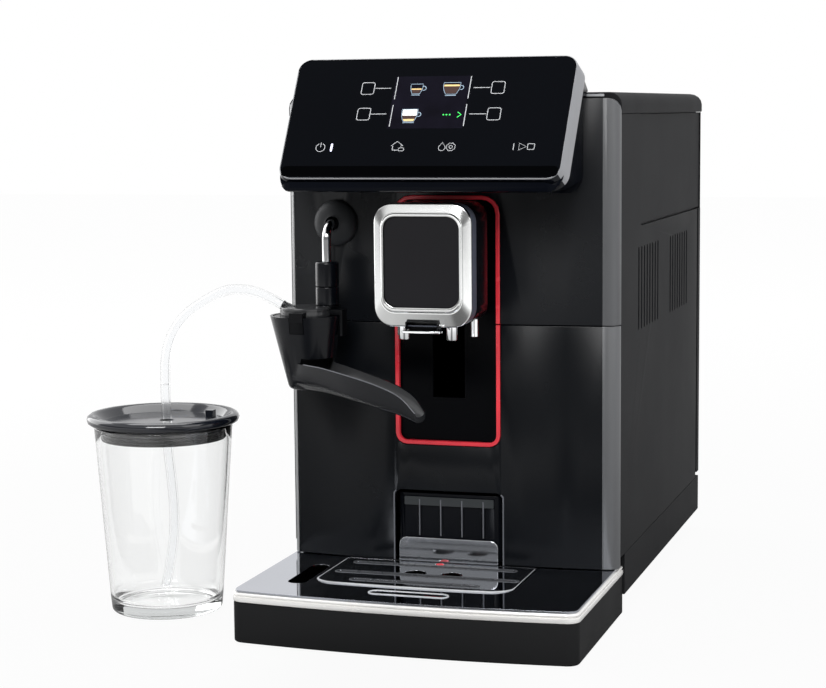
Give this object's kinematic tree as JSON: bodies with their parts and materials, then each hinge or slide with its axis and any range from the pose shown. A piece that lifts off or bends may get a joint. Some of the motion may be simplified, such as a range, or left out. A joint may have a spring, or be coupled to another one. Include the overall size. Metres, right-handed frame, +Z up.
{
  "type": "bean to cup coffee machine with milk glass",
  "caption": "Bean to cup coffee machine with a sloped touch panel, a sliding brew spout, a milk frother on its steam pipe, a drip tray and a lidded milk glass fed by a hose.",
  "frame": {"origin": "middle of the whole set's footprint, on the counter", "axes": "+X to the machine's right seen from the front, +Y to its rear, +Z up"},
  "size_m": [0.3449, 0.4368, 0.357],
  "materials": {
    "gloss_black": "piano black moulding",
    "matt_grey": "fine textured dark grey moulding",
    "satin_black": "satin black moulding",
    "red": "translucent red moulding",
    "chrome": "polished",
    "steel": "polished sheet",
    "silver_trim": "satin silver paint",
    "rubber": "matt",
    "clear": "clear",
    "panel_glass": "black printed behind",
    "smoked": "smoked clear moulding",
    "inner_grey": "moulded",
    "inner_cream": "moulded"
  },
  "bodies": {
    "machine": {"base_pan": "matt_grey", "foot_front_left": "rubber", "foot_front_right": "rubber", "foot_rear_left": "rubber", "foot_rear_right": "rubber", "chassis": "inner_grey", "inner_walls": "inner_grey", "left_panel": "matt_grey", "upper_side_left": "matt_grey", "upper_side_right": "matt_grey", "rear_panel": "matt_grey", "top_cover": "matt_grey", "upper_fascia": "gloss_black", "lower_fascia": "gloss_black", "red_trim_upper": "red", "red_trim_lower": "red", "spout_guide": "satin_black", "panel_housing": "gloss_black", "panel_frame": "silver_trim", "panel_glass": "panel_glass", "panel_display": "satin_black", "steam_socket": "satin_black", "mains_inlet": "satin_black", "bean_hopper": "smoked", "preground_chute": "satin_black", "grinder": "inner_grey", "brew_group": "inner_cream", "milk_hose_upper": "clear"},
    "spout": {"spout_body": "gloss_black", "spout_ring": "chrome", "spout_plate": "satin_black", "spout_lip": "chrome", "spout_nozzle_left": "chrome", "spout_nozzle_right": "chrome"},
    "wand": {"steam_tube": "chrome", "sleeve_upper": "satin_black", "sleeve_lower": "satin_black", "frother_lid": "satin_black", "frother_cup": "satin_black"},
    "tray": {"tray_skirt": "satin_black", "tray_trim": "steel", "tray_basin": "satin_black", "tray_plate": "steel", "tray_upstand": "chrome", "grounds_container": "satin_black"},
    "grille": {"drip_grille": "steel"},
    "float": {"tray_float": "red"},
    "door": {"service_door": "matt_grey"},
    "tank": {"water_tank": "smoked"},
    "tank_cover": {"tank_lid": "matt_grey"},
    "hopper_cover": {"hopper_lid": "smoked"},
    "preground_cover": {"preground_lid": "matt_grey"},
    "knob": {"grind_knob": "satin_black"},
    "rocker": {"rocker_switch": "satin_black"},
    "piston": {"brew_piston": "inner_grey"},
    "screw": {"brew_gear": "inner_cream"},
    "burr": {"grinder_burr": "steel"},
    "glass": {"milk_glass": "clear", "milk_hose_lower": "clear"},
    "glass_cover": {"glass_lid": "gloss_black"}
  },
  "joints": [
    {"name": "drip_tray_slide", "type": "slide", "parent": "machine", "child": "tray", "axis": [0, -1, 0], "range_m": [0, 0.3]},
    {"name": "grille_lift", "type": "slide", "parent": "tray", "child": "grille", "axis": [0, 0, 1], "range_m": [0, 0.05]},
    {"name": "float_rise", "type": "slide", "parent": "tray", "child": "float", "axis": [0, 0, 1], "range_m": [0, 0.006]},
    {"name": "spout_slide", "type": "slide", "parent": "machine", "child": "spout", "axis": [0, 0, -1], "range_m": [0, 0.072]},
    {"name": "wand_swing", "type": "hinge", "parent": "machine", "child": "wand", "pos_m": [-0.01185, -0.1216, 0.253], "axis": [0, 1, 0], "range_deg": [0, 30], "deforming": ["milk_hose_upper"]},
    {"name": "service_door_hinge", "type": "hinge", "parent": "machine", "child": "door", "pos_m": [0.16745, 0.1987, 0.145], "axis": [0, 0, 1], "range_deg": [0, 88]},
    {"name": "tank_lift", "type": "slide", "parent": "machine", "child": "tank", "axis": [0, 0, 1], "range_m": [0, 0.21]},
    {"name": "tank_lid_hinge", "type": "hinge", "parent": "tank", "child": "tank_cover", "pos_m": [-0.00455, 0.2089, 0.33305], "axis": [-1, 0, 0], "range_deg": [0, 95]},
    {"name": "hopper_lid_hinge", "type": "hinge", "parent": "machine", "child": "hopper_cover", "pos_m": [0.10445, 0.2089, 0.33305], "axis": [-1, 0, 0], "range_deg": [0, 95]},
    {"name": "preground_lid_hinge", "type": "hinge", "parent": "machine", "child": "preground_cover", "pos_m": [0.11745, 0.0314, 0.33305], "axis": [-1, 0, 0], "range_deg": [0, 95]},
    {"name": "grind_knob_turn", "type": "hinge", "parent": "machine", "child": "knob", "pos_m": [0.14645, 0.0724, 0.318], "axis": [0, 0, 1], "range_deg": [0, 270]},
    {"name": "rocker_tilt", "type": "hinge", "parent": "machine", "child": "rocker", "pos_m": [-0.01555, 0.2124, 0.104], "axis": [-1, 0, 0], "range_deg": [0, 14]},
    {"name": "brew_piston_slide", "type": "slide", "parent": "machine", "child": "piston", "axis": [0, 0, 1], "range_m": [0, 0.03]},
    {"name": "brew_screw_turn", "type": "hinge", "parent": "machine", "child": "screw", "pos_m": [0.14845, 0.0004, 0.16], "axis": [0, 0, 1], "range_deg": [0, 270]},
    {"name": "burr_spin", "type": "hinge", "parent": "machine", "child": "burr", "pos_m": [0.10445, 0.12965, 0.242], "axis": [0, 0, 1], "continuous": true},
    {"name": "glass_lift", "type": "slide", "parent": "machine", "child": "glass", "axis": [0, 0, 1], "range_m": [0, 0.02], "deforming": ["milk_hose_lower"]},
    {"name": "glass_lid_lift", "type": "slide", "parent": "glass", "child": "glass_cover", "axis": [0, 0, 1], "range_m": [0, 0.014]}
  ],
  "couplings": [
    {"joint": "brew_screw_turn", "follows": "brew_piston_slide", "rad_per_m": 157.08}
  ]
}
